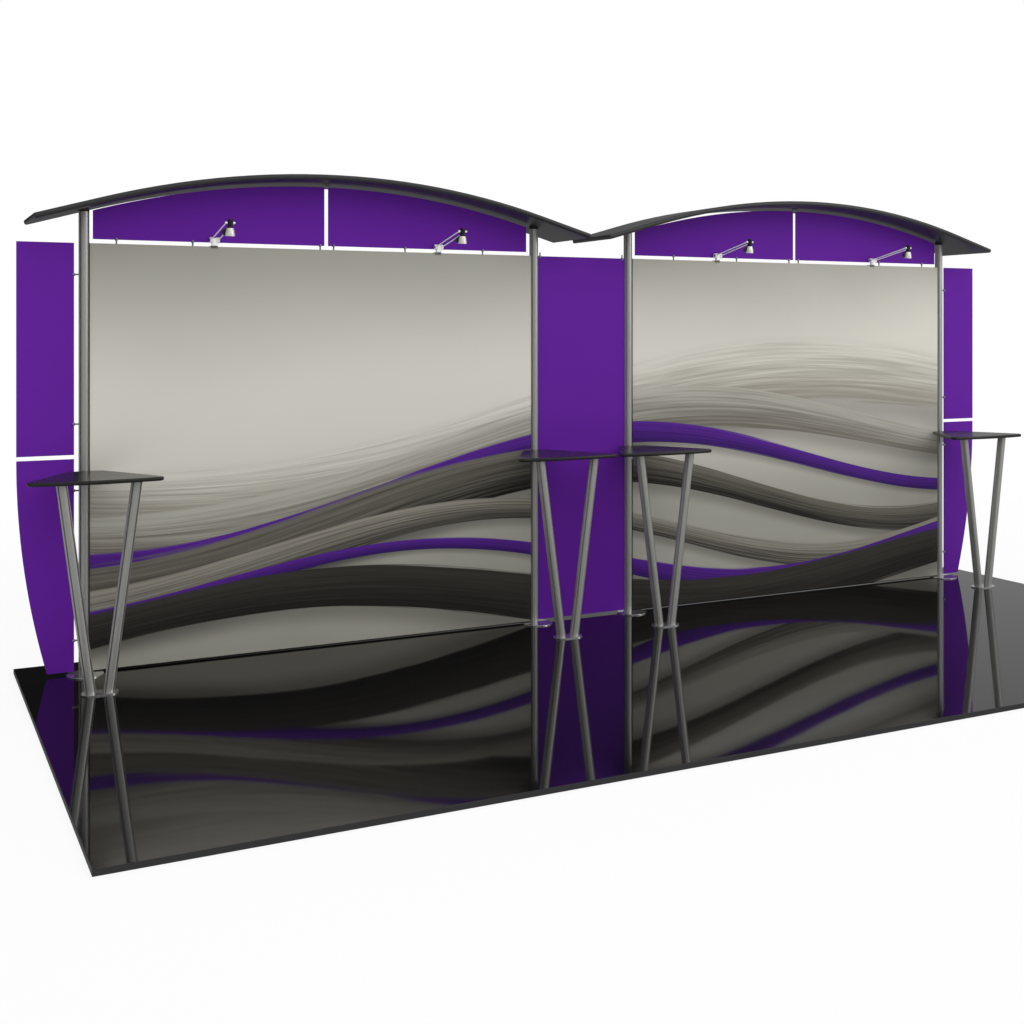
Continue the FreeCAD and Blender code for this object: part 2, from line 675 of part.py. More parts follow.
# Clip-on lights, drawn with the clip's middle on the plane x = 0
def pivot_point():
    return point(0, WALL_Y - PIVOT_FORWARD, PANEL_TOP_Z + PIVOT_RISE)


def yoke_point():
    return pivot_point() + point(0, -ARM_REACH, ARM_RISE)


def light_jaw():
    """Clip over the frame's top rail and the fabric's edge."""
    lip_front = FRAME_FRONT_Y - FABRIC_THICKNESS - SEAT_CLEARANCE
    lip_back = FRAME_BACK_Y + SEAT_CLEARANCE
    lip_foot = PANEL_TOP_Z - JAW_LIP
    width = centred(0, JAW_WIDTH)
    outer_y = (lip_front - JAW_THICKNESS, lip_back + JAW_THICKNESS)
    jaw = block(width, outer_y, (lip_foot, PANEL_TOP_Z + JAW_THICKNESS))
    return jaw.cut(block(width, (lip_front, lip_back), (lip_foot, PANEL_TOP_Z)))


def light_block():
    """Block on the clip, hollowed under the barrel, with a lug for the arm's pivot."""
    pivot = pivot_point()
    foot = PANEL_TOP_Z + JAW_THICKNESS
    block_y = centred(pivot.y, BLOCK_DEPTH)
    reach = X_AXIS * BLOCK_WIDTH
    base = block(centred(0, BLOCK_WIDTH), block_y, (foot, foot + BLOCK_HEIGHT))
    base = base.cut(rod(pivot - reach, pivot + reach, BARREL_DIAMETER + BLOCK_BARREL_GAP * 2))
    lug_side = X_AXIS * (LUG_WIDTH / 2)
    lug = block(centred(0, LUG_WIDTH), block_y, (foot, pivot.z))
    lug = lug.fuse(rod(pivot - lug_side, pivot + lug_side, BLOCK_DEPTH))
    bore = PIVOT_BOLT_DIAMETER + PIN_CLEARANCE * 2
    return base.fuse(lug).removeSplitter().cut(rod(pivot - reach, pivot + reach, bore))


def barrel_limits():
    inner = LUG_WIDTH / 2 + SEAT_CLEARANCE
    return inner, inner + BARREL_LENGTH


def pivot_bolt():
    """Bolt through both barrel halves and the lug, with a head on each side."""
    pivot = pivot_point()
    head_start = X_AXIS * (barrel_limits()[1] + SEAT_CLEARANCE)
    head_end = head_start + X_AXIS * PIVOT_HEAD_HEIGHT
    bolt = rod(pivot - head_end, pivot + head_end, PIVOT_BOLT_DIAMETER)
    for side in (-1, 1):
        bolt = bolt.fuse(rod(pivot + head_start * side, pivot + head_end * side, PIVOT_HEAD_DIAMETER))
    return bolt.removeSplitter()


def arm_side():
    """Right-hand side of the arm: half barrel, rod and knob in one piece."""
    pivot = pivot_point()
    yoke = yoke_point()
    inner, outer = barrel_limits()
    barrel = rod(pivot + X_AXIS * inner, pivot + X_AXIS * outer, BARREL_DIAMETER)
    rod_side = X_AXIS * (ROD_SPACING / 2)
    bar = rod(pivot + rod_side, yoke + rod_side, ROD_DIAMETER)
    knob_middle = yoke + rod_side
    knob_half = X_AXIS * (KNOB_LENGTH / 2)
    knob = rod(knob_middle - knob_half, knob_middle + knob_half, KNOB_DIAMETER)
    knob = knob.makeFillet(KNOB_DIAMETER / 4, [edge for edge in knob.Edges if edge.Closed])
    side = barrel.fuse(bar).fuse(knob).removeSplitter()
    reach = X_AXIS * (ROD_SPACING + BARREL_LENGTH)
    side = side.cut(rod(pivot - reach, pivot + reach, PIVOT_BOLT_DIAMETER + PIN_CLEARANCE * 2))
    return side.cut(rod(yoke - reach, yoke + reach, TRUNNION_DIAMETER + PIN_CLEARANCE * 2))


def socket_handle():
    """Moulded arm from the socket out and down beside the bell, on the left."""
    inner = -SOCKET_DIAMETER / 4
    corners = [
        point(inner, 0, -HANDLE_TOP),
        point(-SOCKET_DIAMETER / 2, 0, -HANDLE_TOP),
        point(-HANDLE_REACH, 0, -HANDLE_ELBOW),
        point(-HANDLE_REACH, 0, -HANDLE_FOOT + HANDLE_TIP),
        point(-HANDLE_REACH + HANDLE_TIP, 0, -HANDLE_FOOT),
        point(inner, 0, -HANDLE_FOOT),
    ]
    outline = Part.Face(Part.makePolygon(corners + corners[:1]))
    arm = moved(outline.extrude(Y_AXIS * HANDLE_WIDTH), 0, -HANDLE_WIDTH / 2, 0)
    neck, outside, rim = bell_edge(-HANDLE_GAP)
    axis_top = point(0, 0, neck.z)
    axis_foot = point(0, 0, rim.z)
    edges = [
        Part.makeLine(axis_top, neck),
        outside,
        Part.makeLine(rim, axis_foot),
        Part.makeLine(axis_foot, axis_top),
    ]
    room = filled(edges).revolve(point(0, 0, 0), Z_AXIS, 360)
    return arm.cut(room)


def light_socket():
    height = SOCKET_ABOVE + SOCKET_BELOW
    body = Part.makeCylinder(SOCKET_DIAMETER / 2, height, point(0, 0, -SOCKET_BELOW))
    crown = [edge for edge in body.Edges if edge.Closed and edge.BoundBox.ZMin > 0]
    body = body.makeFillet(SOCKET_DIAMETER / 8, crown)
    reach = X_AXIS * ((ROD_SPACING + KNOB_LENGTH) / 2)
    trunnion = rod(point(0, 0, 0) - reach, reach, TRUNNION_DIAMETER)
    return body.fuse(trunnion).fuse(socket_handle()).removeSplitter()


def bell_edge(inset):
    """Curve of the bell from neck to mouth, moved inwards by the given wall."""
    neck = point(REFLECTOR_NECK_DIAMETER / 2 - inset, 0, -REFLECTOR_TOP - inset)
    mouth = point(REFLECTOR_MOUTH_DIAMETER / 2 - inset, 0, -REFLECTOR_MOUTH)
    middle = (neck + mouth) / 2 + point(REFLECTOR_BULGE, 0, 0)
    return neck, Part.Arc(neck, middle, mouth).toShape(), mouth


def light_reflector():
    """Bell with a flat neck that fits round the socket's lower end."""
    collar = SOCKET_DIAMETER / 2 + SEAT_CLEARANCE
    neck, outside, rim = bell_edge(0)
    inner_neck, inside, inner_rim = bell_edge(REFLECTOR_WALL)
    collar_top = point(collar, 0, neck.z)
    collar_low = point(collar, 0, inner_neck.z)
    edges = [
        Part.makeLine(collar_top, neck),
        outside,
        Part.makeLine(rim, inner_rim),
        inside,
        Part.makeLine(inner_neck, collar_low),
        Part.makeLine(collar_low, collar_top),
    ]
    return filled(edges).revolve(point(0, 0, 0), Z_AXIS, 360)


def light_lamp():
    """Lamp cap on the socket's end and its round-nosed bulb."""
    bulb_top = -SOCKET_BELOW - LAMP_BASE_LENGTH
    cap = Part.makeCylinder(LAMP_BASE_DIAMETER / 2, LAMP_BASE_LENGTH, point(0, 0, bulb_top))
    bulb_radius = LAMP_BULB_DIAMETER / 2
    straight = LAMP_LENGTH - LAMP_BASE_LENGTH - bulb_radius
    bulb = Part.makeCylinder(bulb_radius, straight, point(0, 0, bulb_top - straight))
    nose = Part.makeSphere(bulb_radius, point(0, 0, bulb_top - straight))
    return cap.fuse(bulb).fuse(nose).removeSplitter()


def hung_on_yoke(shape):
    """Head piece turned to its rest tilt and moved to the arm's end."""
    yoke = yoke_point()
    return moved(turned(shape, point(0, 0, 0), X_AXIS, HEAD_TILT_DEG), yoke.x, yoke.y, yoke.z)


def light_places():
    places = []
    for bay in (-BAY_CENTRE, BAY_CENTRE):
        for side in (-1, 1):
            places.append(bay + LIGHT_SHIFT + side * LIGHT_PITCH / 2)
    return places


def make_lights():
    jaw = light_jaw()
    holder = light_block()
    bolt = pivot_bolt()
    side = arm_side()
    arm = [side, mirrored(side)]
    socket = hung_on_yoke(light_socket())
    reflector = hung_on_yoke(light_reflector())
    lamp = hung_on_yoke(light_lamp())
    places = light_places()
    save("light_jaws", [moved(jaw, x, 0, 0) for x in places])
    save("light_blocks", [moved(holder, x, 0, 0) for x in places])
    save("light_pivot_bolts", [moved(bolt, x, 0, 0) for x in places])
    for number, x in enumerate(places, start=1):
        save("light_arm_%d" % number, [moved(piece, x, 0, 0) for piece in arm])
        save("light_socket_%d" % number, moved(socket, x, 0, 0))
        save("light_reflector_%d" % number, moved(reflector, x, 0, 0))
        save("light_lamp_%d" % number, moved(lamp, x, 0, 0))


os.makedirs("parts", exist_ok=True)
make_floor()
make_posts()
make_base_discs()
make_saddles()
make_canopies()
make_headers()
make_centre_panel()
make_wings()
make_standoffs()
make_picture_walls()
make_counters()
make_lights()
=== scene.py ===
import json
import math

import bpy
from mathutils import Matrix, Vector


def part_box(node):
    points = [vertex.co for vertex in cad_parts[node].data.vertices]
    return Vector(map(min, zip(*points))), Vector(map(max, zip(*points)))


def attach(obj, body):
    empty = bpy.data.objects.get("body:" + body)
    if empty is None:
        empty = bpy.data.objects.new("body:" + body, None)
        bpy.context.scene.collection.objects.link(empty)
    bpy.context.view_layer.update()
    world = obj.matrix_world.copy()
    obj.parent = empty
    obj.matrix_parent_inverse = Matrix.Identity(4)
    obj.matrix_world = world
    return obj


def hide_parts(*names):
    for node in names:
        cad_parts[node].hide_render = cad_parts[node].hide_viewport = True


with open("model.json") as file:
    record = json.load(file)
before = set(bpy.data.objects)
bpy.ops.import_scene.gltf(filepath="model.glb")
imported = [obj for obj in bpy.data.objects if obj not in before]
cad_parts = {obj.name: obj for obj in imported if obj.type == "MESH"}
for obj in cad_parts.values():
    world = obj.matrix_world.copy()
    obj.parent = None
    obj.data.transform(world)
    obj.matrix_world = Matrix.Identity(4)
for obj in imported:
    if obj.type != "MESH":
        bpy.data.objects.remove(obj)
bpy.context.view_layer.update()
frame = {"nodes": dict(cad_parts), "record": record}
ROOT_BODY = "display"

# Camera, level and turned to the right, with its frame moved to take in the floor
CAMERA_PLACE = (-3.62844, -5.62866, 1.68980)
CAMERA_TURN_DEG = -27.3126
CAMERA_SENSOR = 36.0
CAMERA_LENS = 46.252
CAMERA_SHIFT = (-0.046875, -0.17770)

# Studio floor
STAGE_SIZE = 80.0
STAGE_DROP = 0.001
STAGE_COLOUR = 0.86
STAGE_ROUGHNESS = 0.9
STAGE_WHITE_NEAR = 0.86
STAGE_FADE = (4.0, 9.0)
STAGE_MIRRORED = 0.22

# Sky: what the eye, the object and glossy surfaces get of it
SKY_WHITE = 1.0
SKY_LIGHT = 0.95
SKY_MIRRORED = 0.015
SKY_RIGHT = 0.40
SKY_RIGHT_SPAN = (0.10, 0.70)
SKY_FRONT = 0.30
SKY_FRONT_SPAN = (0.35, 0.95)
SKY_ABOVE = 0.35
SKY_ABOVE_SPAN = (0.30, 1.0)

# Studio lamps
LAMP_AIM = (0.0, 1.1, 1.1)
KEY_PLACE = (1.2, -5.4, 6.8)
KEY_SIZE = (10.0, 6.0)
KEY_POWER = 130.0
SIDE_PLACE = (6.5, -5.0, 4.0)
SIDE_SIZE = (2.5, 4.0)
SIDE_POWER = 70.0

# Picture cloth: its mesh, its hem and puckers, and the sides that turn back round the frame
CLOTH_STEP = 0.022
CLOTH_FRONT_ROOM = 0.0001
CLOTH_BACK_SHARE = 0.5
CLOTH_ROLL = 0.0011
ROLL_STEP_SHARE = 0.3
EDGE_STEPS = (0.003, 0.007)
HEM_WIDTH = 0.016
HEM_GROOVE = 0.00025
HEM_GROOVE_WIDTH = 0.003
HEM_MARGIN = 0.012
PUCKER_PITCH = 0.034
PUCKER_DEPTH = 0.00012
PUCKER_REACH = 0.05
CLOTH_HOLLOW = 0.0016
WRAP_DEPTHS = (0.0085, 0.0040, -0.0002)
WRAP_OUT = 0.0005
WRAP_THICKNESS = 0.00018

# Fine relief of the finishes: depths, pitches, and how little drawn lines change along their run
DRAWN_LINE_RELIEF = 0.00004
DRAWN_LINE_SHARE = 0.012
HAIRLINE_RELIEF = 0.00002
PAINT_RELIEF = 0.00008
GRAIN_RELIEF = 0.00006
PORE_RELIEF = 0.00008
FLOOR_WAVE_RELIEF = 0.0006
STRAND_RELIEF = 0.0004
RING_PITCH = 0.0011
RING_RELIEF = 0.00004
FROST_RELIEF = 0.00003
THREAD_PITCH = 0.0016
THREAD_RELIEF = 0.00012

# Pale specks in laminate and dust on the floor
SPECK_SHARE = 0.35
SPECK_TONE_SHARE = 1.7
DUST_SHARE = 0.5

# Rest tilt of the lights' heads, as in the part's source
HEAD_TILT_DEG = 5.0

# Mean of a noise, and places of the sockets of Blender's mix node for colours
NOISE_MIDDLE = 0.5
MIX_INPUTS = (0, 6, 7)
MIX_OUTPUT = 2


def srgb(red, green, blue):
    """Colour written in display values of 0 to 255, as the linear values that shaders use."""
    shares = [value / 255 for value in (red, green, blue)]
    linear = [s / 12.92 if s <= 0.04045 else ((s + 0.055) / 1.055) ** 2.4 for s in shares]
    return (*linear, 1.0)


def tone(colour, share):
    """The colour made lighter or darker by a share."""
    return (*(min(1.0, value * share) for value in colour[:3]), 1.0)


class Number:
    """A value in a node tree that takes part in plain sums."""

    def __init__(self, shader, socket):
        self.shader = shader
        self.socket = socket

    def __add__(self, other):
        return self.shader.math("ADD", self, other)

    def __sub__(self, other):
        return self.shader.math("SUBTRACT", self, other)

    def __mul__(self, other):
        return self.shader.math("MULTIPLY", self, other)

    def __truediv__(self, other):
        return self.shader.math("DIVIDE", self, other)

    def __rsub__(self, other):
        return self.shader.math("SUBTRACT", other, self)

    __radd__ = __add__
    __rmul__ = __mul__


class NodeTree:
    """Short ways to add nodes to a node tree."""

    def __init__(self, tree):
        self.tree = tree

    def add(self, kind, inputs=None, **settings):
        node = self.tree.nodes.new(kind)
        for key, value in settings.items():
            setattr(node, key, value)
        for key, value in (inputs or {}).items():
            self.feed(node.inputs[key], value)
        return node

    def feed(self, socket, value):
        """Links a value of the tree to the socket, or sets a plain value on it."""
        if isinstance(value, Number):
            value = value.socket
        if isinstance(value, bpy.types.NodeSocket):
            self.tree.links.new(value, socket)
        else:
            socket.default_value = value

    def math(self, operation, *values):
        node = self.add("ShaderNodeMath", operation=operation)
        for socket, value in zip(node.inputs, values):
            self.feed(socket, value)
        return Number(self, node.outputs[0])

    def coordinates(self, kind="Object"):
        """x, y and z in metres on the piece, or of another kind of coordinates."""
        place = self.add("ShaderNodeTexCoord").outputs[kind]
        split = self.add("ShaderNodeSeparateXYZ", {"Vector": place})
        return [Number(self, split.outputs[axis]) for axis in "XYZ"]

    def ray_kinds(self, *kinds):
        """1 for rays of the named kinds, 0 for others."""
        path = self.add("ShaderNodeLightPath").outputs
        seen = Number(self, path["Is %s Ray" % kinds[0]])
        for kind in kinds[1:]:
            seen = self.math("MAXIMUM", seen, path["Is %s Ray" % kind])
        return seen

    def vector(self, x, y, z):
        return self.add("ShaderNodeCombineXYZ", {"X": x, "Y": y, "Z": z}).outputs[0]

    def noise(self, cells, detail=2.0, stretch=(1.0, 1.0, 1.0), vector=None):
        """Noise of about so many cells a metre, with each axis packed by its share of stretch."""
        if vector is None:
            vector = self.add("ShaderNodeTexCoord").outputs["Object"]
        spread = self.add("ShaderNodeMapping", {"Vector": vector, "Scale": stretch})
        inputs = {"Vector": spread.outputs[0], "Scale": cells, "Detail": detail}
        return Number(self, self.add("ShaderNodeTexNoise", inputs).outputs["Fac"])

    def between(self, value, low, high, to_low=0.0, to_high=1.0):
        """Takes value smoothly from the span low to high over to the span to_low to to_high."""
        inputs = {"Value": value, "From Min": low, "From Max": high, "To Min": to_low, "To Max": to_high}
        node = self.add("ShaderNodeMapRange", inputs, interpolation_type="SMOOTHSTEP")
        return Number(self, node.outputs[0])

    def uneven(self, value, *noises):
        """The value raised and lowered by noises, each given with how far it goes."""
        for noise, spread in noises:
            value = value + (noise - NOISE_MIDDLE) * spread
        return value

    def mix(self, share, first, second):
        """Colour that goes from first to second as share goes from 0 to 1."""
        node = self.add("ShaderNodeMix", data_type="RGBA")
        for place, value in zip(MIX_INPUTS, (share, first, second)):
            self.feed(node.inputs[place], value)
        return node.outputs[MIX_OUTPUT]

    def tones(self, share, colour, dark, light):
        """The colour from its dark to its light tone as share goes from 0 to 1."""
        return self.mix(share, tone(colour, dark), tone(colour, light))


class Shader(NodeTree):
    """The node tree of one new material."""

    def __init__(self, name):
        self.material = bpy.data.materials.new(name)
        self.material.use_nodes = True
        super().__init__(self.material.node_tree)
        self.surface = self.tree.nodes["Principled BSDF"]

    def set(self, **inputs):
        """Sets inputs of the surface, with underscores for the blanks in their names."""
        for key, value in inputs.items():
            self.feed(self.surface.inputs[key.replace("_", " ")], value)

    def bump(self, height, depth, strength):
        inputs = {"Height": height, "Distance": depth, "Strength": strength}
        self.set(Normal=self.add("ShaderNodeBump", inputs).outputs[0])


# Materials, one function for each kind of finish
def brushed_metal(name, colour, roughness, along, metallic=1.0):
    """Satin metal with fine drawn lines along one axis."""
    shader = Shader(name)
    stretch = [DRAWN_LINE_SHARE if axis == along else 1.0 for axis in "XYZ"]
    lines = shader.noise(cells=2600.0, detail=3.0, stretch=stretch)
    clouds = shader.noise(cells=9.0)
    contrast = shader.between(lines, low=0.3, high=0.7)
    shader.set(Base_Color=shader.tones(contrast, colour, dark=0.88, light=1.12))
    shader.set(Roughness=shader.uneven(roughness, (lines, 0.16), (clouds, 0.10)))
    shader.set(Metallic=metallic)
    shader.bump(lines, depth=DRAWN_LINE_RELIEF, strength=0.5)
    return shader.material


def polished_metal(name, colour, roughness, metallic):
    """Bright metal with faint smudges and hairlines."""
    shader = Shader(name)
    smudges = shader.noise(cells=35.0, detail=4.0)
    hairs = shader.noise(cells=700.0, stretch=(1.0, 0.05, 1.0))
    shader.set(Base_Color=shader.tones(smudges, colour, dark=0.94, light=1.04))
    shader.set(Roughness=shader.uneven(roughness, (smudges, 0.10), (hairs, 0.05)))
    shader.set(Metallic=metallic)
    shader.bump(hairs, depth=HAIRLINE_RELIEF, strength=0.4)
    return shader.material


def painted(name, colour, roughness):
    """Paint or powder coat with a fine orange peel."""
    shader = Shader(name)
    peel = shader.noise(cells=900.0)
    clouds = shader.noise(cells=22.0, detail=3.0)
    shader.set(Base_Color=shader.tones(clouds, colour, dark=0.93, light=1.05))
    shader.set(Roughness=shader.uneven(roughness, (clouds, 0.12)))
    shader.bump(peel, depth=PAINT_RELIEF, strength=0.35)
    return shader.material


def moulded(name, colour, roughness):
    """Moulded plastic with a fine eroded grain."""
    shader = Shader(name)
    grain = shader.noise(cells=1500.0, detail=3.0)
    clouds = shader.noise(cells=30.0, detail=3.0)
    shader.set(Base_Color=shader.tones(clouds, colour, dark=0.85, light=1.15))
    shader.set(Roughness=shader.uneven(roughness, (grain, 0.2)))
    shader.bump(grain, depth=GRAIN_RELIEF, strength=0.5)
    return shader.material


def panel_plastic(name, colour, roughness, gloss):
    """Satin sheet plastic: even colour, faint cloudiness and a very fine hammered skin."""
    shader = Shader(name)
    clouds = shader.noise(cells=2.2, detail=3.0)
    skin = shader.noise(cells=620.0)
    shader.set(Base_Color=shader.tones(clouds, colour, dark=0.95, light=1.05))
    shader.set(Roughness=shader.uneven(roughness, (skin, 0.14), (clouds, 0.06)))
    shader.set(Specular_IOR_Level=gloss)
    shader.bump(skin, depth=GRAIN_RELIEF, strength=0.3)
    return shader.material


def laminate(name, colour, roughness, gloss):
    """Dark pressed laminate: soft streaks along the board, fine specks and a dull pore."""
    shader = Shader(name)
    streaks = shader.noise(cells=26.0, detail=4.0, stretch=(0.12, 1.0, 1.0))
    specks = shader.noise(cells=520.0)
    pores = shader.noise(cells=900.0, stretch=(0.15, 1.0, 1.0))
    flecked = shader.between(specks, low=0.62, high=0.72) * SPECK_SHARE
    body = shader.tones(streaks, colour, dark=0.84, light=1.14)
    shader.set(Base_Color=shader.mix(flecked, body, tone(colour, SPECK_TONE_SHARE)))
    shader.set(Roughness=shader.uneven(roughness, (pores, 0.16)))
    shader.set(Specular_IOR_Level=gloss)
    shader.bump(pores, depth=PORE_RELIEF, strength=0.4)
    return shader.material


def gloss_floor(name):
    """Black high gloss sheet, slightly uneven, with faint wipe marks."""
    shader = Shader(name)
    wipes = shader.noise(cells=2.4, detail=4.0, stretch=(0.35, 1.0, 1.0))
    dust = shader.noise(cells=260.0)
    waves = shader.noise(cells=3.1, detail=1.0)
    flecked = shader.between(dust, low=0.70, high=0.78) * DUST_SHARE
    shader.set(Base_Color=shader.mix(flecked, srgb(10, 10, 11), srgb(26, 26, 27)))
    shader.set(Roughness=shader.uneven(0.045, (wipes, 0.035)))
    shader.set(IOR=1.5)
    shader.bump(waves, depth=FLOOR_WAVE_RELIEF, strength=0.25)
    return shader.material


def deck_board(name):
    """Pressed board: pale strands in a darker ground."""
    shader = Shader(name)
    strands = shader.noise(cells=60.0, detail=4.0, stretch=(0.3, 1.0, 1.0))
    crumbs = shader.noise(cells=420.0, detail=3.0)
    share = shader.between(strands * 0.6 + crumbs * 0.4, low=0.38, high=0.62)
    shader.set(Base_Color=shader.mix(share, srgb(136, 108, 76), srgb(190, 164, 124)))
    shader.set(Roughness=shader.uneven(0.62, (crumbs, 0.3)))
    shader.bump(strands, depth=STRAND_RELIEF, strength=0.5)
    return shader.material


def spun_reflector(name):
    """Pale satin bell with fine rings left by spinning, round the tilted axis of the head."""
    shader = Shader(name)
    _, y, z = shader.coordinates()
    tilt = math.radians(HEAD_TILT_DEG)
    along = y * math.sin(tilt) - z * math.cos(tilt)
    rings = shader.math("SINE", along * (2 * math.pi / RING_PITCH))
    clouds = shader.noise(cells=40.0, detail=3.0)
    shader.set(Base_Color=shader.mix(clouds, srgb(222, 219, 208), srgb(242, 240, 232)))
    shader.set(Roughness=shader.uneven(0.26 + rings * 0.03, (clouds, 0.1)))
    shader.set(Metallic=0.45)
    shader.bump(rings, depth=RING_RELIEF, strength=0.3)
    return shader.material


def frosted_lamp(name):
    """Frosted glass of the lamp."""
    shader = Shader(name)
    frost = shader.noise(cells=1600.0)
    shader.set(Base_Color=shader.mix(frost, srgb(226, 224, 214), srgb(246, 244, 236)))
    shader.set(Roughness=shader.uneven(0.42, (frost, 0.2)))
    shader.set(Transmission_Weight=0.55)
    shader.bump(frost, depth=FROST_RELIEF, strength=0.4)
    return shader.material


# Picture print: bands of flowing brush strokes over a pale mist
MIST_LIGHT = srgb(213, 210, 200)
MIST_MIDDLE = srgb(179, 177, 166)
MIST_DARK = srgb(132, 130, 120)
STROKE_DARK = srgb(30, 28, 25)
STROKE_CHARCOAL = srgb(58, 55, 50)
STROKE_WARM = srgb(112, 108, 98)
STROKE_PALE = srgb(150, 146, 134)
PURPLE_DEEP = srgb(48, 16, 92)
PURPLE_BRIGHT = srgb(88, 34, 146)
LINING = srgb(214, 212, 206)
LINING_PRINT_SHARE = 0.16

# Glow in the mist: height of its middle, slope, how far from its middle it fades, and how unevenly
GLOW_LEVEL = 1.35
GLOW_SLOPE = 0.06
GLOW_SPAN = (0.05, 0.95)
GLOW_RAGGED = 0.5

# Each band: level, slope, swing, radians a metre, phase, half width, its swing, dark and light tone
BANDS = (
    (1.17, 0.045, 0.20, 0.95, 0.3, 0.150, 0.050, STROKE_PALE, MIST_LIGHT),
    (0.98, 0.030, 0.23, 1.05, 0.9, 0.105, 0.040, STROKE_WARM, MIST_MIDDLE),
    (0.83, 0.020, 0.25, 1.12, 1.3, 0.060, 0.020, PURPLE_DEEP, PURPLE_BRIGHT),
    (0.66, 0.010, 0.25, 1.18, 1.7, 0.115, 0.045, STROKE_DARK, STROKE_WARM),
    (0.47, -0.010, 0.21, 1.25, 2.3, 0.085, 0.030, STROKE_CHARCOAL, STROKE_PALE),
    (0.33, -0.020, 0.17, 1.35, 2.9, 0.055, 0.025, PURPLE_DEEP, PURPLE_BRIGHT),
    (0.17, -0.015, 0.14, 1.30, 3.6, 0.120, 0.035, STROKE_DARK, STROKE_CHARCOAL),
)

# The same for all bands, across them in half widths: edge, soft shade below, and light on the strokes
BAND_EDGE = (1.02, 0.90)
BAND_RAGGED = 0.5
BAND_SHADE = 0.42
BAND_SHADE_DROP = 0.5
BAND_SHADE_SPAN = (0.6, 1.7)
BAND_LIT_SPAN = (0.35, 1.15)
BAND_LIT_BY_HEIGHT = 0.30
BAND_LIT_BY_STROKES = 0.9
BAND_LIT_BY_HAIRS = 0.55

# A band's half width swings more slowly than its middle and in another phase
HALF_TURN_SHARE = 0.7
HALF_PHASE_TIMES = 2

# Brush marks: cells along a band in a metre and across half its width, and the step from band to band
STROKE_CELLS = (1.1, 9.0)
STROKE_LAYER_STEP = 7.3
HAIR_CELLS = (2.0, 42.0)
HAIR_LAYER_STEP = 3.1


def mist(shader, x, z):
    """Pale ground of the print: a slanting glow in a darker rim, with slow clouds."""
    clouds = shader.noise(cells=0.9, detail=4.0, stretch=(0.6, 1.0, 1.0))
    slant = shader.math("ABSOLUTE", z - GLOW_LEVEL - x * GLOW_SLOPE)
    rim = shader.between(shader.uneven(slant, (clouds, GLOW_RAGGED)), *GLOW_SPAN)
    return shader.mix(rim, MIST_LIGHT, shader.mix(clouds, MIST_DARK, MIST_MIDDLE))


def brush_marks(shader, x, across, cells, layer, detail):
    """Noise drawn out along a band, with its own count of cells along and across it."""
    place = shader.vector(x * cells[0], across * cells[1], layer)
    return shader.noise(cells=1.0, detail=detail, vector=place)


def add_band(shader, ground, x, z, order, band):
    """Lays one band of brush strokes with its soft shade over what is there."""
    level, slope, swing, turn, phase, half, half_swing, dark, light = band
    middle = x * slope + level + shader.math("SINE", x * turn + phase) * swing
    half_turn = x * (turn * HALF_TURN_SHARE) + phase * HALF_PHASE_TIMES
    reach = half + shader.math("SINE", half_turn) * half_swing
    across = (z - middle) / reach
    strokes = brush_marks(shader, x, across, STROKE_CELLS, order * STROKE_LAYER_STEP, detail=5.0)
    hairs = brush_marks(shader, x, across, HAIR_CELLS, order * HAIR_LAYER_STEP, detail=3.0)
    ragged = shader.uneven(shader.math("ABSOLUTE", across), (strokes, BAND_RAGGED))
    cover = shader.between(ragged, *BAND_EDGE)
    below = shader.math("ABSOLUTE", across + BAND_SHADE_DROP)
    shade = (1 - shader.between(below, *BAND_SHADE_SPAN)) * BAND_SHADE
    shaded = shader.mix(shade, ground, STROKE_DARK)
    light_share = across * BAND_LIT_BY_HEIGHT + strokes * BAND_LIT_BY_STROKES + hairs * BAND_LIT_BY_HAIRS
    lit = shader.between(light_share, *BAND_LIT_SPAN)
    return shader.mix(cover, shaded, shader.mix(lit, dark, light))


def printed_fabric(name):
    """Stretch fabric with the print on its face and a pale, faintly marked back."""
    shader = Shader(name)
    x, _, z = shader.coordinates()
    art = mist(shader, x, z)
    for order, band in enumerate(BANDS):
        art = add_band(shader, art, x, z, order, band)
    normal = shader.add("ShaderNodeNewGeometry").outputs["Normal"]
    facing = shader.add("ShaderNodeSeparateXYZ", {"Vector": normal}).outputs["Y"]
    back = shader.between(facing, low=0.2, high=0.6)
    lining = shader.mix(LINING_PRINT_SHARE, LINING, art)
    shader.set(Base_Color=shader.mix(back, art, lining))
    turns = 2 * math.pi / THREAD_PITCH
    threads = shader.math("SINE", x * turns) * shader.math("SINE", z * turns)
    slubs = shader.noise(cells=300.0, stretch=(0.2, 1.0, 1.0))
    shader.set(Roughness=shader.uneven(0.82, (slubs, 0.16)))
    shader.set(Specular_IOR_Level=0.18)
    shader.set(Sheen_Weight=0.08)
    shader.bump(threads * 0.5 + slubs, depth=THREAD_RELIEF, strength=0.4)
    return shader.material


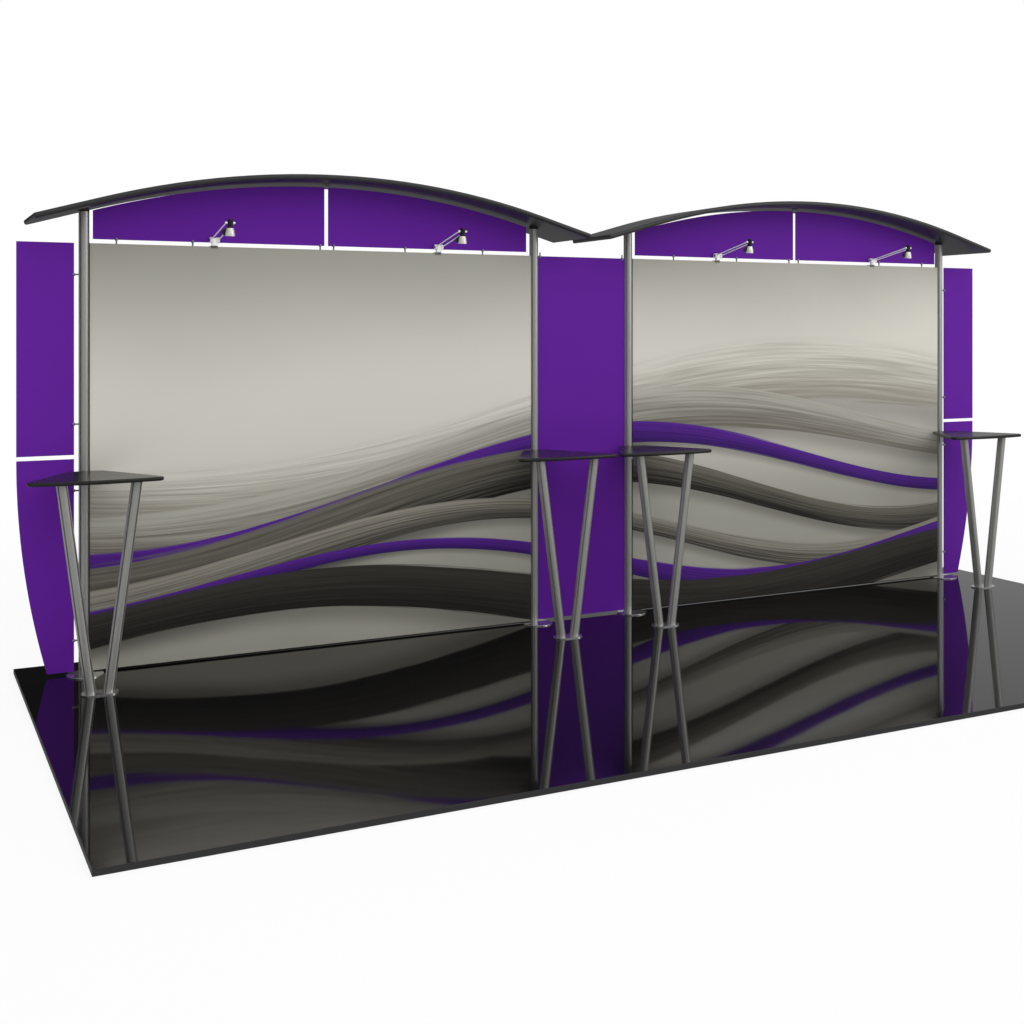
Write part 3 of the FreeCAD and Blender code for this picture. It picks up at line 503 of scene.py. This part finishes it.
FINISHES = {
    "deck_board": deck_board,
    "floor_gloss": gloss_floor,
    "floor_trim": lambda name: brushed_metal(name, srgb(92, 92, 94), 0.42, "X"),
    "polished_steel": lambda name: polished_metal(name, srgb(226, 226, 226), 0.095, metallic=0.92),
    # Near-black saddles at the post tops: partly their own dark colour, partly painted shade for the
    # shaded gap under the canopies.
    "steel_fitting": lambda name: painted(name, srgb(24, 24, 24), 0.50),
    "grooved_aluminium": lambda name: brushed_metal(name, srgb(188, 188, 184), 0.32, "Z", metallic=0.7),
    "hanger_grey": lambda name: painted(name, srgb(120, 120, 122), 0.45),
    "dark_bolt": lambda name: brushed_metal(name, srgb(104, 104, 106), 0.38, "X"),
    "canopy_laminate": lambda name: laminate(name, srgb(46, 46, 47), 0.36, gloss=0.45),
    "purple_panel": lambda name: panel_plastic(name, srgb(97, 34, 152), 0.46, gloss=0.05),
    "standoff_metal": lambda name: brushed_metal(name, srgb(156, 156, 158), 0.30, "Z"),
    "mural_print": printed_fabric,
    # The picture frame's near-black is painted shade: it draws the dark shadow line under the picture
    # cloths.
    "frame_aluminium": lambda name: brushed_metal(name, srgb(40, 40, 42), 0.42, "Z"),
    "counter_laminate": lambda name: laminate(name, srgb(33, 32, 30), 0.26, gloss=0.42),
    "bracket_metal": lambda name: brushed_metal(name, srgb(200, 200, 202), 0.34, "Y"),
    "jaw_grey": lambda name: painted(name, srgb(100, 97, 92), 0.40),
    "clamp_white": lambda name: painted(name, srgb(252, 252, 252), 0.30),
    "arm_white": lambda name: painted(name, srgb(244, 243, 245), 0.22),
    "socket_black": lambda name: moulded(name, srgb(24, 24, 25), 0.22),
    "reflector_pale": spun_reflector,
    "lamp_glass": frosted_lamp,
}


def dress_nodes():
    """Gives every CAD node the finish of its slot."""
    made = {slot: finish("mat_" + slot) for slot, finish in FINISHES.items()}
    for subpart in frame["record"]["subparts"]:
        mesh = frame["nodes"][subpart["node"]].data
        mesh.materials.clear()
        mesh.materials.append(made[subpart["material_slot"]])
    return made


# Picture cloths
def steps_between(start, end):
    """Places from start to end, close together at both hems and even between."""
    roll = [0.0, CLOTH_ROLL * ROLL_STEP_SHARE, CLOTH_ROLL]
    groove = [HEM_WIDTH - HEM_GROOVE_WIDTH, HEM_WIDTH, HEM_WIDTH + HEM_GROOVE_WIDTH]
    near = [*roll, *EDGE_STEPS, *groove, HEM_WIDTH + HEM_MARGIN]
    first = start + near[-1]
    last = end - near[-1]
    count = round((last - first) / CLOTH_STEP)
    inner = [first + (last - first) * i / count for i in range(1, count)]
    return [start + d for d in near] + inner + [end - d for d in reversed(near)]


def cloth_front(x, z, low, high, mullion_x):
    """How far the cloth's face lies behind its foremost plane at a place."""
    edge = min(x - low.x, high.x - x, z - low.z, high.z - z)
    roll = 0.0
    if edge < CLOTH_ROLL:
        roll = CLOTH_ROLL - math.sqrt(max(0.0, CLOTH_ROLL**2 - (CLOTH_ROLL - edge) ** 2))
    groove = HEM_GROOVE * max(0.0, 1 - abs(edge - HEM_WIDTH) / HEM_GROOVE_WIDTH)
    fade = max(0.0, 1 - edge / PUCKER_REACH)
    ripple = math.sin(2 * math.pi * x / PUCKER_PITCH) * math.sin(2 * math.pi * z / PUCKER_PITCH)
    pucker = PUCKER_DEPTH * fade * (1 + ripple)
    side = (low.x, mullion_x) if x < mullion_x else (mullion_x, high.x)
    across = math.sin(math.pi * (x - side[0]) / (side[1] - side[0]))
    up = math.sin(math.pi * (z - low.z) / (high.z - low.z))
    return roll + groove + pucker + CLOTH_HOLLOW * max(0.0, across * up) ** 2


def wrapped_side(edge_x, side, back_y, z):
    """Points of the cloth's outside and inside where it turns back along the frame's side."""
    outside = edge_x + side * WRAP_OUT
    inside = outside - side * WRAP_THICKNESS
    levels = [back_y + depth for depth in WRAP_DEPTHS]
    return [(outside, y, z) for y in levels], [(inside, y, z) for y in levels]


def closed_sheet_faces(wide, tall):
    """Faces of two grids of points, one behind the other, joined along their rim."""
    offset = wide * tall
    faces = []
    for j in range(tall - 1):
        for i in range(wide - 1):
            a = j * wide + i
            quad = (a, a + 1, a + wide + 1, a + wide)
            faces.append(quad)
            faces.append(tuple(offset + k for k in reversed(quad)))
    rim = list(range(wide - 1))
    rim += [j * wide + wide - 1 for j in range(tall - 1)]
    rim += [(tall - 1) * wide + i for i in range(wide - 1, 0, -1)]
    rim += [j * wide for j in range(tall - 1, 0, -1)]
    for a, b in zip(rim, rim[1:] + rim[:1]):
        faces.append((a, offset + a, offset + b, b))
    return faces


def stretched_cloth(name, node):
    """Thin closed sheet in the place of a fabric node, with hem, puckers and wrapped sides."""
    low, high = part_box(node)
    mullion_x = (low.x + high.x) / 2
    face_y = low.y + CLOTH_FRONT_ROOM
    thickness = high.y - face_y
    columns = steps_between(low.x, high.x)
    rows = steps_between(low.z, high.z)
    front = []
    back = []
    for z in rows:
        left_front, left_back = wrapped_side(low.x, -1, high.y, z)
        right_front, right_back = wrapped_side(high.x, 1, high.y, z)
        front += left_front
        back += left_back
        for x in columns:
            y = face_y + cloth_front(x, z, low, high, mullion_x)
            front.append((x, min(y, high.y + CLOTH_HOLLOW), z))
            back.append((x, max(high.y, y + thickness * CLOTH_BACK_SHARE), z))
        front += reversed(right_front)
        back += reversed(right_back)
    wide = len(columns) + len(WRAP_DEPTHS) * 2
    mesh = bpy.data.meshes.new(name)
    mesh.from_pydata(front + back, [], closed_sheet_faces(wide, len(rows)))
    mesh.shade_smooth()
    piece = bpy.data.objects.new(name, mesh)
    bpy.context.scene.collection.objects.link(piece)
    return piece, (high.x - low.x, high.z - low.z)


def hang_pictures(material):
    for side in ("left", "right"):
        node = "mural_fabric_" + side
        piece, flat = stretched_cloth("picture_cloth_" + side, node)
        piece.data.materials.append(material)
        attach(piece, ROOT_BODY)
        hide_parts(node)


# Studio: floor, sky, lamps and camera
def stage_material():
    """Pale floor that turns to white away from the object and keeps the shadow near it."""
    shader = Shader("mat_stage")
    x, y, _ = shader.coordinates()
    distance = shader.math("SQRT", x * x + y * y)
    share = shader.between(distance, *STAGE_FADE, STAGE_WHITE_NEAR, 1.0)
    grain = shader.noise(cells=40.0)
    pale = (STAGE_COLOUR, STAGE_COLOUR, STAGE_COLOUR, 1.0)
    shader.set(Base_Color=shader.tones(grain, pale, dark=0.99, light=1.01))
    shader.set(Roughness=STAGE_ROUGHNESS)
    shader.set(Specular_IOR_Level=0.0)
    seen = shader.ray_kinds("Camera", "Transmission")
    mirrored = shader.ray_kinds("Glossy")
    brightness = seen * SKY_WHITE + mirrored * STAGE_MIRRORED
    white = shader.add("ShaderNodeEmission", {"Strength": brightness}).outputs[0]
    blend = shader.add("ShaderNodeMixShader", {0: shader.math("MAXIMUM", seen, mirrored) * share})
    shader.feed(blend.inputs[1], shader.surface.outputs[0])
    shader.feed(blend.inputs[2], white)
    shader.feed(shader.tree.nodes["Material Output"].inputs["Surface"], blend.outputs[0])
    return shader.material


def lay_stage():
    half = STAGE_SIZE / 2
    mesh = bpy.data.meshes.new("stage_floor")
    corners = [(-half, -half), (half, -half), (half, half), (-half, half)]
    mesh.from_pydata([(x, y, -STAGE_DROP) for x, y in corners], [], [(0, 1, 2, 3)])
    floor = bpy.data.objects.new("stage_floor", mesh)
    bpy.context.scene.collection.objects.link(floor)
    mesh.materials.append(stage_material())


def raise_sky():
    """White to the eye, a plain light to the object, and grey with a dark left side in gloss."""
    world = bpy.data.worlds.new("studio_sky")
    bpy.context.scene.world = world
    world.use_nodes = True
    sky = NodeTree(world.node_tree)
    x, y, z = sky.coordinates("Generated")
    right = sky.between(x, *SKY_RIGHT_SPAN, 0.0, SKY_RIGHT)
    front = sky.between(y * -1.0, *SKY_FRONT_SPAN, 0.0, SKY_FRONT)
    above = sky.between(z, *SKY_ABOVE_SPAN, 0.0, SKY_ABOVE)
    seen = sky.ray_kinds("Camera", "Transmission")
    glossy = sky.ray_kinds("Glossy")
    mirrored = glossy * (right + front + above + SKY_MIRRORED)
    others = (1 - seen) * (1 - glossy)
    strength = seen * SKY_WHITE + mirrored + others * SKY_LIGHT
    background = world.node_tree.nodes["Background"]
    background.inputs["Color"].default_value = (1.0, 1.0, 1.0, 1.0)
    sky.feed(background.inputs["Strength"], strength)


def hang_lamp(name, place, size, power):
    lamp = bpy.data.lights.new(name, "AREA")
    lamp.shape = "RECTANGLE"
    lamp.size, lamp.size_y = size
    lamp.energy = power
    light = bpy.data.objects.new(name, lamp)
    light.location = place
    aim = Vector(LAMP_AIM) - Vector(place)
    light.rotation_euler = aim.to_track_quat("-Z", "Y").to_euler()
    bpy.context.scene.collection.objects.link(light)


def set_camera():
    data = bpy.data.cameras.new("camera")
    data.sensor_width = CAMERA_SENSOR
    data.lens = CAMERA_LENS
    data.shift_x, data.shift_y = CAMERA_SHIFT
    camera = bpy.data.objects.new("camera", data)
    camera.location = CAMERA_PLACE
    camera.rotation_euler = (math.radians(90), 0, math.radians(CAMERA_TURN_DEG))
    bpy.context.scene.collection.objects.link(camera)
    bpy.context.scene.camera = camera


materials = dress_nodes()
hang_pictures(materials["mural_print"])
lay_stage()
raise_sky()
hang_lamp("key_light", KEY_PLACE, KEY_SIZE, KEY_POWER)
hang_lamp("side_light", SIDE_PLACE, SIDE_SIZE, SIDE_POWER)
set_camera()
bpy.context.scene.view_settings.view_transform = "Standard"
